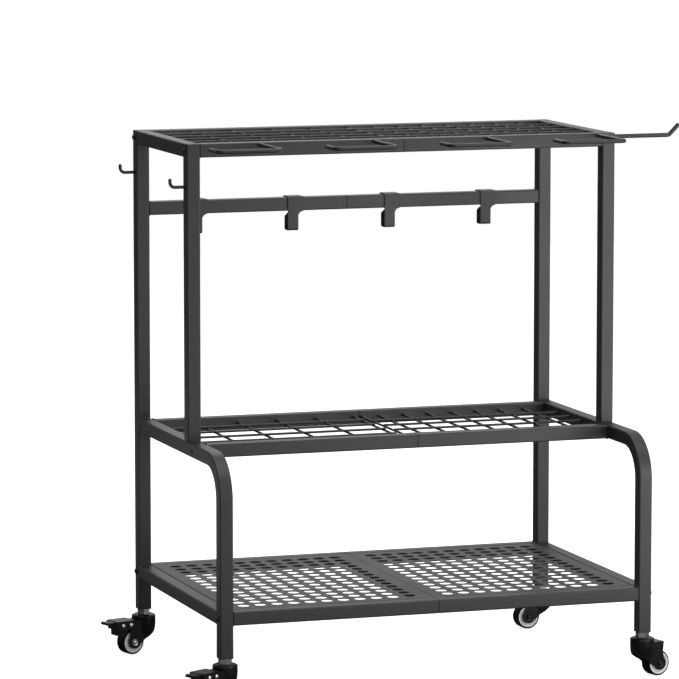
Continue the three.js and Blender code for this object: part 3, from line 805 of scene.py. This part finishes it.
class RACK_OT_deck(PieceOperator, bpy.types.Operator):
    """Adds the two halves of the perforated deck"""
    bl_idname = "rack.deck"
    bl_label = "Perforated deck"

    columns = 11
    rows = 14
    first_column = 0.0365
    column_pitch = 0.03135
    row_pitch = 0.0328
    hole_sides = 20

    def build(self):
        for end, side in SIDES.items():
            self.add_half(f"deck_panel_{end}", side)

    def add_half(self, node, side):
        size = sizes()
        low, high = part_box(node)
        seam = high.x if side < 0 else low.x
        outer_column = seam + side * (self.first_column + (self.columns - 1) * self.column_pitch)
        first_x = min(seam + side * self.first_column, outer_column)
        first_y = (low.y + high.y) / 2 - (self.rows - 1) / 2 * self.row_pitch
        first = (first_x, first_y, high.z)
        deselect()
        bpy.ops.mesh.primitive_grid_add(x_subdivisions=5, y_subdivisions=5, size=1, location=first)
        panel = bpy.context.object
        panel.scale = (self.column_pitch, self.row_pitch, 1)
        settle(panel)
        with Editing(panel) as edit:
            edit.pick("VERT", lambda point: not point.is_boundary)
            bpy.ops.mesh.delete(type="VERT")
            edit.all()
            bpy.ops.mesh.delete(type="ONLY_FACE")
            bpy.ops.mesh.primitive_circle_add(
                vertices=self.hole_sides, radius=size.deck_hole / 2, location=first)
            bpy.ops.mesh.select_mode(type="EDGE")
            edit.all()
            bpy.ops.mesh.bridge_edge_loops()
        for step, count in (((self.column_pitch, 0, 0), self.columns), ((0, self.row_pitch, 0), self.rows)):
            apply_modifier(
                panel, "ARRAY", count=count, use_relative_offset=False, use_constant_offset=True,
                constant_offset_displace=step, use_merge_vertices=True, merge_threshold=NEAR)
        self.add_border(panel, low, high, side)
        with Editing(panel) as edit:
            edit.face_out()
            mesh = bmesh.from_edit_mesh(panel.data)
            mesh.faces.ensure_lookup_table()
            flat = next(face for face in mesh.faces if abs(face.normal.z) > PARALLEL)
            if flat.normal.z < 0:
                bpy.ops.mesh.flip_normals()
        apply_modifier(panel, "SOLIDIFY", thickness=size.deck_sheet, offset=-1)
        finish_piece(panel, "sheet_" + node, "rack", "coated_deck", "deck", node)

    def add_border(self, panel, low, high, side):
        """Draws the rim of the holes' field out to the panel's edges and folds three of them down."""
        reach = {(0, -1): low.x, (0, 1): high.x, (1, -1): low.y, (1, 1): high.y}
        reach[(0, -side)] += side * sizes().split_gap / 2
        folded = [(0, side), (1, -1), (1, 1)]

        def on_line(edge, axis, place):
            return abs(middle_of(edge)[axis] - place) < NEAR and abs(edge_line(edge)[axis]) < SQUARE

        def on_top(edge):
            return middle_of(edge).z > high.z - NEAR

        def on_fold(edge):
            return on_top(edge) and any(on_line(edge, way[0], reach[way]) for way in folded)

        with Editing(panel) as edit:
            for (axis, way), edge_place in reach.items():
                places = [point.co[axis] for point in bmesh.from_edit_mesh(panel.data).verts]
                rim = max(places) if way > 0 else min(places)
                edit.pick("EDGE", lambda edge: edge.is_boundary and on_line(edge, axis, rim))
                move = [0, 0, 0]
                move[axis] = edge_place - rim
                bpy.ops.mesh.extrude_region_move(TRANSFORM_OT_translate={"value": move})
            for axis, way in folded:
                place = reach[(axis, way)]
                edit.pick(
                    "EDGE",
                    lambda edge: edge.is_boundary and on_line(edge, axis, place) and on_top(edge))
                bpy.ops.mesh.extrude_region_move(
                    TRANSFORM_OT_translate={"value": (0, 0, low.z - high.z)})
            edit.weld_points(NEAR)
            edit.pick("EDGE", lambda edge: not edge.is_boundary and on_fold(edge))
            bpy.ops.mesh.bevel(offset=sizes().deck_fold, segments=4)


class RACK_OT_bar_hooks(PieceOperator, bpy.types.Operator):
    """Adds the four strip hooks on the back bar"""
    bl_idname = "rack.bar_hooks"
    bl_label = "Bar hooks"

    edge_round = 0.0007

    def build(self):
        for i in range(1, 5):
            node = f"back_hook_{i}"
            hook = refined(node, self.edge_round)
            finish_piece(hook, f"strip_{node}", "rack", "coated_tube", "frame", node)


class RACK_OT_wire_hooks(PieceOperator, bpy.types.Operator):
    """Adds the wire hooks of the front rail and both ends"""
    bl_idname = "rack.wire_hooks"
    bl_label = "Wire hooks"

    root_gap = 0.0001
    tip_gap = 0.0002
    front_prong = 0.053
    prong_rise = 0.020

    # How far the slanted tip reaches past its middle, in radii
    slant_reach = 0.7

    def build(self):
        size = sizes()
        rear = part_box("top_front_rail_l")[0].y - self.root_gap
        radius = size.hook_wire / 2
        for i in range(1, 5):
            node = f"front_hook_{i}"
            low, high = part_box(node)
            z = (low.z + high.z) / 2
            left, right, front = low.x + radius, high.x - radius, low.y + radius
            self.add(node, "wire_", radius, [
                (right, rear, z), (right, front, z), (left, front, z), (left, front + self.front_prong, z),
            ])
        low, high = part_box("side_prong")
        y = (low.y + high.y) / 2
        radius = size.prong_rod / 2
        level = low.z + radius
        bend_x = high.x - self.prong_rise - radius * self.slant_reach
        self.add("side_prong", "rod_", radius, [
            (end_face("front_upright_r") + self.root_gap, y, level), (bend_x, y, level),
            (bend_x + self.prong_rise, y, level + self.prong_rise),
        ])
        radius = size.side_hook_rod / 2
        for node in ("side_hook_front", "side_hook_rear"):
            low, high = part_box(node)
            y = (low.y + high.y) / 2
            level = low.z + radius
            self.add(node, "wire_", radius, [
                (end_face("rear_post_l") - self.root_gap, y, level), (low.x + radius, y, level),
                (low.x + radius, y, high.z - self.tip_gap),
            ])

    def add(self, node, kind, radius, corners):
        wire = wire_through(corners, radius, sizes().wire_bend)
        finish_piece(wire, kind + node, "rack", "coated_wire", "wire", node)


class RACK_OT_caster_mounts(PieceOperator, bpy.types.Operator):
    """Adds the cup, hex nut and kingpin of each caster"""
    bl_idname = "rack.caster_mounts"
    bl_label = "Caster mounts"

    cup = (
        (0.0049, -0.0183), (0.0222, -0.0183), (0.0225, -0.0179), (0.0225, -0.0128),
        *arc((0.0205, -0.0128), 0.0020, 0, 60, 4), (0.0196, -0.0101), (0.0186, -0.0097),
        (0.0172, -0.0097), (0.0165, -0.0102), (0.0120, -0.0102), (0.0049, -0.0102),
    )
    pin = (
        (0, -0.0236), (0.0082, -0.0236), (0.0090, -0.0229), (0.0090, -0.0215),
        (0.0050, -0.0215), (0.0050, 0.0120), (0, 0.0120),
    )
    nut_flat = 0.011
    nut_height = 0.0094
    nut_level = -0.0050
    nut_corner = 0.0009
    nut_edge = 0.0003
    nut_turns = {"front_r": 20}

    def build(self):
        point = math.pi / 6
        nut = rod(self.nut_flat / math.cos(point), self.nut_height, (0, 0, self.nut_level), (0, 0, point), 6)
        with Editing(nut) as edit:
            edit.all()
            bpy.ops.mesh.bevel(offset=self.nut_corner, segments=2, affect="VERTICES")
        soften(nut, self.nut_edge, 2)
        models = {
            "cup": (lathe(self.cup, 64), "caster_gloss", "caster_black"),
            "nut": (nut, "nut_plate", "zinc"),
            "kingpin": (lathe(self.pin, 32), "zinc_plate", "zinc"),
        }
        for place, where, _ in caster_places():
            turn = Matrix.Rotation(math.radians(self.nut_turns.get(place, 0)), 4, "Z")
            for name, (model, material, slot) in models.items():
                piece = placed_copy(model, where @ turn if name == "nut" else where)
                finish_piece(piece, f"{name}_{place}", "rack", material, slot, "stem_" + place)
        for model, _, _ in models.values():
            bpy.data.objects.remove(model)


class RACK_OT_forks(PieceOperator, bpy.types.Operator):
    """Adds the formed forks, axles and their heads"""
    bl_idname = "rack.forks"
    bl_label = "Forks and axles"

    crown = -0.0186
    sheet = 0.0025
    inner = 0.0130
    eye = 0.0124
    pin_hole = 0.0051
    bore_depth = 0.02
    edge_round = 0.0006
    back = ((0.038, 0), (0.036, -0.022))
    braked_back = ((0.038, 0), (0.0435, -0.0035), (0.0445, -0.006), (0.0445, -0.009), (0.039, -0.0184))
    shin = (
        (0.006, -0.0365), (-0.0036, -0.0304), (-0.0166, -0.022), (-0.0203, -0.0150),
        (-0.0225, -0.006), (-0.0230, 0),
    )
    skirt = ((0.0225, 0), (0.0225, -0.006), (0.0219, -0.015), (0.0200, -0.024), (0.0155, -0.040))
    shin_at_stem = -0.0327
    cavity_front = -0.008
    axle_radius = 0.003
    head_gap = 0.0003
    head = (
        (0, 0), (0.0064, 0), (0.0064, 0.0008), (0.0060, 0.0010), (0.0046, 0.0006),
        (0.0042, 0.0018), (0.0036, 0.0025), (0.0024, 0.0029), (0.0010, 0.0030), (0, 0.0030),
    )
    axle_looks = {True: ("zinc_plate", "zinc"), False: ("caster_gloss", "caster_black")}

    def build(self):
        models = {brake: self.model(brake) for brake in (False, True)}
        head = lathe(self.head, 40)
        for place, where, brake in caster_places():
            body = "fork_" + place
            fork = placed_copy(models[brake], where)
            finish_piece(fork, "shell_" + body, body, "caster_gloss", "caster_black", body)
            self.add_axle(head, place, where, *self.axle_looks[brake])
        for model in (*models.values(), head):
            bpy.data.objects.remove(model)

    def model(self, brake):
        drop = self.crown
        outline = [(x, z + drop) for x, z in (self.braked_back if brake else self.back)]
        outline += arc(AXLE, self.eye, 45, -145, 24)
        shin = [(x, z + drop) for x, z in self.shin]
        half = self.inner + self.sheet
        wide = self.skirt[0][0] + self.sheet
        body = prism(outline + [shin[0], (0, self.shin_at_stem + drop), (0, drop)], -half, half)
        skirt = self.turned(0, drop)
        cut_or_join(skirt, prism(outline + shin, -wide, wide), "INTERSECT")
        cut_or_join(body, skirt, "UNION")
        cut_or_join(body, self.turned(self.sheet, drop), "DIFFERENCE")
        front, rear = self.cavity_front, AXLE[0] * 2
        top, bottom = drop - self.sheet, AXLE[1] * 2
        cavity = prism([(front, top), (rear, top), (rear, bottom), (front, bottom)], -self.inner, self.inner)
        cut_or_join(body, cavity, "DIFFERENCE")
        cut_or_join(body, rod(self.pin_hole, self.bore_depth, (0, 0, drop), sides=40), "DIFFERENCE")
        soften(body, self.edge_round)
        return body

    def turned(self, wall, level):
        """The turned skirt under the crown, or with a wall given its hollow."""
        rim = [(radius - wall, level + min(z, -wall)) for radius, z in self.skirt]
        return lathe([(0, rim[0][1]), *rim, (0, rim[-1][1])], 96)

    def add_axle(self, head, place, where, material, slot):
        """The pin through the wheel with a formed head outside each cheek."""
        face = self.inner + self.sheet + self.head_gap
        out = Matrix.Translation((0, 0, face))
        parts = [rod(self.axle_radius, face * 2)]
        parts += [placed_copy(head, Matrix.Rotation(turn, 4, "X") @ out) for turn in (0, math.pi)]
        axle = joined(parts)
        axle.matrix_world = where @ ON_AXLE
        finish_piece(axle, "rivet_axle_" + place, "fork_" + place, material, slot, "axle_" + place)


class RACK_OT_wheels(PieceOperator, bpy.types.Operator):
    """Adds the moulded hubs, the near-black cores in the hub recesses as painted shade, and the rubber
    treads
    """
    bl_idname = "rack.wheels"
    bl_label = "Wheels"

    halves = {
        # The near-black core in the hub recess is painted shade
        "core": (
            (0.0031, 0.0124), (0.0062, 0.0124), (0.0070, 0.0118), (0.0072, 0.0078), (0.0086, 0.0076),
        ),
        "hub": (
            (0.0087, 0.0078), (0.0112, 0.0088), (0.0124, 0.0104), (0.0149, 0.0104), (0.0154, 0.0088),
            (0.0167, 0.0088), (0.0171, 0.0111), (0.0177, 0.0114), (0.0198, 0.0114), (0.0203, 0.0109),
        ),
        "tread": (
            (0.0202, 0.0112), (0.0208, 0.0115), (0.0222, 0.0114),
            *arc((0.0218, 0.0096), 0.0017, 60, 0, 5), (0.0235, 0.0060),
        ),
    }
    materials = {"core": "core_plastic", "hub": "hub_plastic", "tread": "tread_rubber"}

    def build(self):
        models = {}
        for name, half in self.halves.items():
            other_half = [(radius, -height) for radius, height in reversed(half)]
            models[name] = lathe([*half, *other_half], 72)
        for place, where, _ in caster_places():
            node = "wheel_" + place
            for name, model in models.items():
                piece = placed_copy(model, where @ ON_AXLE)
                finish_piece(piece, f"{name}_{place}", node, self.materials[name], "wheel", node)
        for model in models.values():
            bpy.data.objects.remove(model)


class RACK_OT_brake_pedals(PieceOperator, bpy.types.Operator):
    """Adds the brake pedals with their rivets"""
    bl_idname = "rack.brake_pedals"
    bl_label = "Brake pedals"

    edge_round = 0.0008
    outer = 0.0178
    rivets = ((0.039, -0.0254), (0.0565, -0.0254))
    dome = (
        (0, -0.0006), (0.0043, -0.0006), (0.0043, 0.0002), *arc((0.0031, 0.0002), 0.0012, 0, 75, 4),
        (0.0014, 0.0018), (0, 0.0018),
    )

    def build(self):
        dome = lathe(self.dome, 32)
        for place, where, brake in caster_places():
            if not brake:
                continue
            body = "pedal_" + place
            pedal = refined(body, self.edge_round)
            finish_piece(pedal, "lever_" + place, body, "caster_gloss", "caster_black", body)
            parts = []
            for x, z in self.rivets:
                for way in (-1, 1):
                    turn = Matrix.Rotation(-way * math.pi / 2, 4, "X")
                    lay = Matrix.Translation((x, way * self.outer, z)) @ turn
                    parts.append(placed_copy(dome, where @ lay))
            finish_piece(joined(parts), "rivets_" + place, body, "zinc_plate", "zinc")
        bpy.data.objects.remove(dome)


class RACK_OT_fasteners(PieceOperator, bpy.types.Operator):
    """Adds the button-headed bolts on the outer faces of the columns"""
    bl_idname = "rack.fasteners"
    bl_label = "Bolts"

    head = (
        (0, 0), (0.0058, 0), (0.0058, 0.0007), (0.0048, 0.0009), (0.0048, 0.0024),
        *arc((0.0030, 0.0024), 0.0018, 0, 80, 5), (0.0024, 0.0042), (0.0022, 0.0020), (0, 0.0020),
    )

    def build(self):
        bolt = lathe(self.head, 32)
        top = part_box("rear_post_l")[1].z - HALF_TUBE
        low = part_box("low_side_rail_l")[1].z - HALF_TUBE
        parts = []
        for end, side in SIDES.items():
            face = end_face("rear_post_" + end)
            rear = middle("rear_post_" + end).y
            upright = middle("front_upright_" + end).y
            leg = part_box("side_tube_" + end)[0].y + HALF_TUBE
            for y, z in ((rear, top), (upright, top), (rear, low), (leg, low)):
                parts.append(placed_copy(bolt, facing_out((face, y, z), side)))
        bpy.data.objects.remove(bolt)
        finish_piece(joined(parts), "corner_bolts", "rack", "coated_tube", "frame")


class RACK_OT_welds(PieceOperator, bpy.types.Operator):
    """Adds the weld beads in the corners of the frame"""
    bl_idname = "rack.welds"
    bl_label = "Weld beads"

    bead_length = 0.0215
    bead_taper = 0.6

    def build(self):
        beads = []
        for stem in CROSS_RAILS:
            for end in SIDES:
                low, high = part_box(f"{stem}_{end}")
                face = end_face("rear_post_" + end, outer=False)
                for z in [low.z] if stem.startswith("top") else [low.z, high.z]:
                    beads.append(self.bead((face, (low.y + high.y) / 2, z), ALONG_Y))
        for end in SIDES:
            x = middle("rear_post_" + end).x
            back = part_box("rear_post_" + end)[0].y
            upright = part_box("front_upright_" + end)
            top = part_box("top_side_rail_" + end)
            low_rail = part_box("low_side_rail_" + end)
            side_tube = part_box("side_tube_" + end)
            for y, z in (
                (back, top[0].z), (upright[1].y, top[0].z), (back, low_rail[0].z), (back, low_rail[1].z),
                (low_rail[0].y, low_rail[0].z), (low_rail[0].y, low_rail[1].z), (back, side_tube[1].z),
                (back, side_tube[1].z - HALF_TUBE * 2), (upright[0].y, upright[0].z),
                (upright[1].y, upright[0].z),
            ):
                beads.append(self.bead((x, y, z), ALONG_X))
        finish_piece(joined(beads), "weld_beads", "rack", "weld_coat", "frame")

    def bead(self, place, turn):
        """One bead, a rod with tapered ends laid in a corner."""
        radius = sizes().weld_bead
        item = rod(radius, self.bead_length, place, turn, 12)
        with Editing(item) as edit:
            edit.round_ends(radius * self.bead_taper)
        return item


class RACK_OT_studio(PieceOperator, bpy.types.Operator):
    """Adds the floor, the lamps, the white surround and the camera"""
    bl_idname = "rack.studio"
    bl_label = "Studio"

    eye = (-2.8081, -7.9586, 1.6512)
    yaw = 0.32428
    pitch = 0.12306
    focal = 4620.0
    image = 679
    floor_size = 14
    floor_glow = 0.8

    # Each lamp's place, what it is aimed at, and its width
    lamps = {
        "ceiling": ((0.3, -0.6, 3.6), (0, 0, 0.5), 3.2),
        "front": ((3.4, -4.6, 2.5), (0, 0, 0.5), 3.8),
        "near": ((1.8, -2.6, 0.55), (0.35, 0, 0.35), 1.3),
        "back": ((0.8, 3.4, 3.2), (0, 0, 0.5), 1.8),
        "edge": ((-1.1, 0.9, 0.15), (-0.44, -0.4, 0.2), 0.5),
    }

    # Where the floor that shows in glossy faces brightens, in metres
    sheen_right = (0.1, 0.9)
    sheen_behind = (-0.4, 0.4)
    apron_far = (-3.6, -2.8)
    apron_near = (-1.0, -0.6)
    apron_right = (-0.3, 1.3)
    apron_left_share = 0.35

    # Where the surround brightens, as parts of a unit direction
    horizon = (-0.02, 0.07)
    wall_right = (-0.35, 0.15)
    wall_left_share = 0.4
    wall_behind = (0.3, 0.8)
    wall_top = (0.08, 0.14)

    def build(self):
        self.add_floor()
        self.add_surround()
        self.add_lamps()
        self.add_camera()

    def add_floor(self):
        deselect()
        bpy.ops.mesh.primitive_plane_add(size=self.floor_size, location=(0, 0, 0))
        floor = bpy.context.object
        floor.name = "studio_floor"
        settle(floor)
        pale = Finish("pale_floor")
        ground = colours().ground
        path = pale.node("ShaderNodeLightPath").outputs
        pale.set(
            Base_Color=pale.blend(pale.noise(3.0), shade(ground, 0.985), ground),
            Roughness=0.9,
            Emission_Color=pale.blend(path["Is Camera Ray"], (0, 0, 0), (self.floor_glow,) * 3),
            Emission_Strength=1.0)
        light = bpy.context.scene.rack_light
        parts = pale.node("ShaderNodeSeparateXYZ", Vector=pale.place).outputs
        sheen = pale.ramp(parts["X"], *self.sheen_right) * pale.ramp(parts["Y"], *self.sheen_behind)
        apron = pale.ramp(parts["Y"], *self.apron_far) * (1 - pale.ramp(parts["Y"], *self.apron_near))
        apron = apron * pale.ramp(parts["X"], *self.apron_right, self.apron_left_share)
        level = sheen * (light.sheen - light.dusk) + apron * (light.apron - light.dusk) + light.dusk
        gloom = pale.node("ShaderNodeEmission", Color=level, Strength=1.0)
        mix = pale.node("ShaderNodeMixShader")
        pale.link(path["Is Glossy Ray"], mix.inputs[0])
        pale.link(pale.surface.outputs[0], mix.inputs[1])
        pale.link(gloom.outputs[0], mix.inputs[2])
        pale.link(mix.outputs[0], pale.output.inputs[0])
        floor.data.materials.append(pale.material)

    def add_surround(self):
        """White to the camera; to the rack a bright wall above the horizon and dusk below it."""
        world = bpy.data.worlds.new("white_surround")
        bpy.context.scene.world = world
        world.use_nodes = True
        room = Nodes(world.node_tree)
        light = bpy.context.scene.rack_light
        seen = Level(room.tree, room.node("ShaderNodeLightPath").outputs["Is Camera Ray"])
        direction = room.node("ShaderNodeTexCoord").outputs["Object"]
        parts = room.node("ShaderNodeSeparateXYZ", Vector=direction).outputs
        above = room.ramp(parts["Z"], *self.horizon)
        right = room.ramp(parts["X"], *self.wall_right, self.wall_left_share)
        wall = room.ramp(parts["Y"], *self.wall_behind) * (1 - room.ramp(parts["Z"], *self.wall_top))
        level = above * right * (wall * light.wall + 1) * (light.room - light.dusk) + light.dusk
        white = room.node(
            "ShaderNodeBackground", Color=(1, 1, 1, 1), Strength=seen + (1 - seen) * level)
        room.node("ShaderNodeOutputWorld", Surface=white.outputs[0])

    def add_lamps(self):
        for name, (place, aim, width) in self.lamps.items():
            lamp = bpy.data.objects.new(name + "_lamp", bpy.data.lights.new(name + "_lamp", "AREA"))
            lamp.data.energy = getattr(bpy.context.scene.rack_light, name)
            lamp.data.size = width
            lamp.location = place
            lamp.rotation_euler = (Vector(aim) - Vector(place)).to_track_quat("-Z", "Y").to_euler()
            lamp.visible_camera = False
            bpy.context.scene.collection.objects.link(lamp)

    def add_camera(self):
        """A long lens that looks a little down on the rack from its front left."""
        camera = bpy.data.objects.new("photo_camera", bpy.data.cameras.new("photo_camera"))
        bpy.context.scene.collection.objects.link(camera)
        camera.location = self.eye
        camera.rotation_euler = Euler((math.pi / 2 - self.pitch, 0, -self.yaw))
        camera.data.sensor_fit = "HORIZONTAL"
        camera.data.sensor_width = 36
        camera.data.lens = camera.data.sensor_width * self.focal / self.image
        camera.data.clip_end = 100
        bpy.context.scene.camera = camera
        bpy.context.scene.view_settings.view_transform = "Standard"


class RACK_PT_panel(bpy.types.Panel):
    """Lists the rack's pieces, sizes and colours"""
    bl_idname = "RACK_PT_panel"
    bl_label = "Tool rack"
    bl_space_type = "VIEW_3D"
    bl_region_type = "UI"
    bl_category = "Tool rack"

    def draw(self, context):
        column = self.layout.column()
        for operator in OPERATORS:
            column.operator(operator.bl_idname)
        for group in (context.scene.rack_sizes, context.scene.rack_colours, context.scene.rack_light):
            for name in group.__annotations__:
                column.prop(group, name)


OPERATORS = (
    RACK_OT_straight_tubes,
    RACK_OT_bent_tubes,
    RACK_OT_grids,
    RACK_OT_deck,
    RACK_OT_bar_hooks,
    RACK_OT_wire_hooks,
    RACK_OT_caster_mounts,
    RACK_OT_forks,
    RACK_OT_wheels,
    RACK_OT_brake_pedals,
    RACK_OT_fasteners,
    RACK_OT_welds,
    RACK_OT_studio,
)
CLASSES = (RackSizes, RackColours, RackLight, *OPERATORS, RACK_PT_panel)


def register():
    for item in CLASSES:
        bpy.utils.register_class(item)
    bpy.types.Scene.rack_sizes = bpy.props.PointerProperty(type=RackSizes)
    bpy.types.Scene.rack_colours = bpy.props.PointerProperty(type=RackColours)
    bpy.types.Scene.rack_light = bpy.props.PointerProperty(type=RackLight)


def unregister():
    del bpy.types.Scene.rack_light
    del bpy.types.Scene.rack_colours
    del bpy.types.Scene.rack_sizes
    for item in reversed(CLASSES):
        bpy.utils.unregister_class(item)


def main():
    register()
    bpy.ops.rack.straight_tubes()
    bpy.ops.rack.bent_tubes()
    bpy.ops.rack.grids()
    bpy.ops.rack.deck()
    bpy.ops.rack.bar_hooks()
    bpy.ops.rack.wire_hooks()
    bpy.ops.rack.caster_mounts()
    bpy.ops.rack.forks()
    bpy.ops.rack.wheels()
    bpy.ops.rack.brake_pedals()
    bpy.ops.rack.fasteners()
    bpy.ops.rack.welds()
    bpy.ops.rack.studio()


if __name__ == "__main__":
    main()
